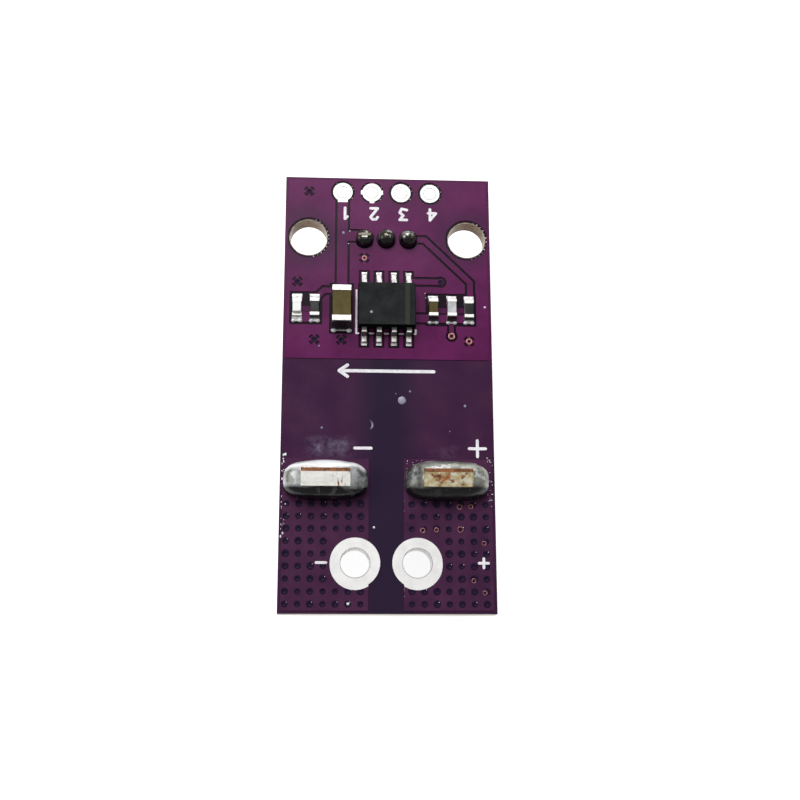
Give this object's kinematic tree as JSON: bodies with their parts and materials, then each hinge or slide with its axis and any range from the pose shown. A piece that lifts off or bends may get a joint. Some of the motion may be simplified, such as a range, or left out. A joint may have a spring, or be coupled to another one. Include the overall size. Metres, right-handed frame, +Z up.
{
  "type": "hall effect current sensor",
  "caption": "Purple circuit board with a moulded Hall effect current sensor under it, thick copper legs, ring terminals, header holes, an amplifier and chip parts.",
  "frame": {"origin": "on the surface that the moulded sensor rests on, under the middle of the board", "axes": "+Z up through the board, +Y along the board towards the header holes, +X to the right as the header end points away"},
  "size_m": [0.0178, 0.0378, 0.0107],
  "materials": {
    "alumina": "white alumina",
    "black_moulding": "fine matt black epoxy moulding",
    "chip_case": "plain",
    "copper_leg": "tinned copper with bare cut ends",
    "core_steel": "plain magnetic steel",
    "lamp_base": "white laminate",
    "lamp_lens": "clear epoxy",
    "masked_copper": "glossy purple solder mask over copper",
    "masked_laminate": "glossy dark purple solder mask over bare glass laminate",
    "pale_ceramic": "pale grey ceramic",
    "resistor_coat": "black glass overcoat",
    "solder": "bright solder with dull patches",
    "tan_ceramic": "olive brown ceramic",
    "tinned_cap": "satin tin plating",
    "tinned_lead": "satin tin plating",
    "tinned_pad": "satin hot-tinned copper"
  },
  "bodies": {
    "root": {"amp_body": "black_moulding", "amp_lead_1": "tinned_lead", "amp_lead_2": "tinned_lead", "amp_lead_3": "tinned_lead", "amp_lead_4": "tinned_lead", "amp_lead_5": "tinned_lead", "amp_lead_6": "tinned_lead", "amp_lead_7": "tinned_lead", "amp_lead_8": "tinned_lead", "amp_solder": "solder", "back_ground_plane": "masked_copper", "back_tracks": "masked_copper", "chip_solder": "solder", "flux_core": "core_steel", "front_ground_plane": "masked_copper", "front_tracks": "masked_copper", "hall_chip": "chip_case", "header_pad_1": "tinned_pad", "header_pad_2": "tinned_pad", "header_pad_3": "tinned_pad", "header_pad_4": "tinned_pad", "laminate": "masked_laminate", "lamp_base": "lamp_base", "lamp_end_caps": "tinned_cap", "lamp_lens": "lamp_lens", "lamp_resistor_end_caps": "tinned_cap", "lamp_resistor_overcoat": "resistor_coat", "lamp_resistor_substrate": "alumina", "large_capacitor_body": "tan_ceramic", "large_capacitor_end_caps": "tinned_cap", "negative_back_pour": "masked_copper", "negative_front_pour": "masked_copper", "negative_ring": "tinned_pad", "negative_terminal_solder": "solder", "output_resistor_end_caps": "tinned_cap", "output_resistor_overcoat": "resistor_coat", "output_resistor_substrate": "alumina", "pale_capacitor_body": "pale_ceramic", "pale_capacitor_end_caps": "tinned_cap", "positive_back_pour": "masked_copper", "positive_front_pour": "masked_copper", "positive_ring": "tinned_pad", "positive_terminal_solder": "solder", "primary_conductor": "copper_leg", "sensor_housing": "black_moulding", "signal_lead_1": "tinned_lead", "signal_lead_2": "tinned_lead", "signal_lead_3": "tinned_lead", "signal_solder_1": "solder", "signal_solder_2": "solder", "signal_solder_3": "solder", "small_capacitor_body": "tan_ceramic", "small_capacitor_end_caps": "tinned_cap"}
  },
  "joints": []
}
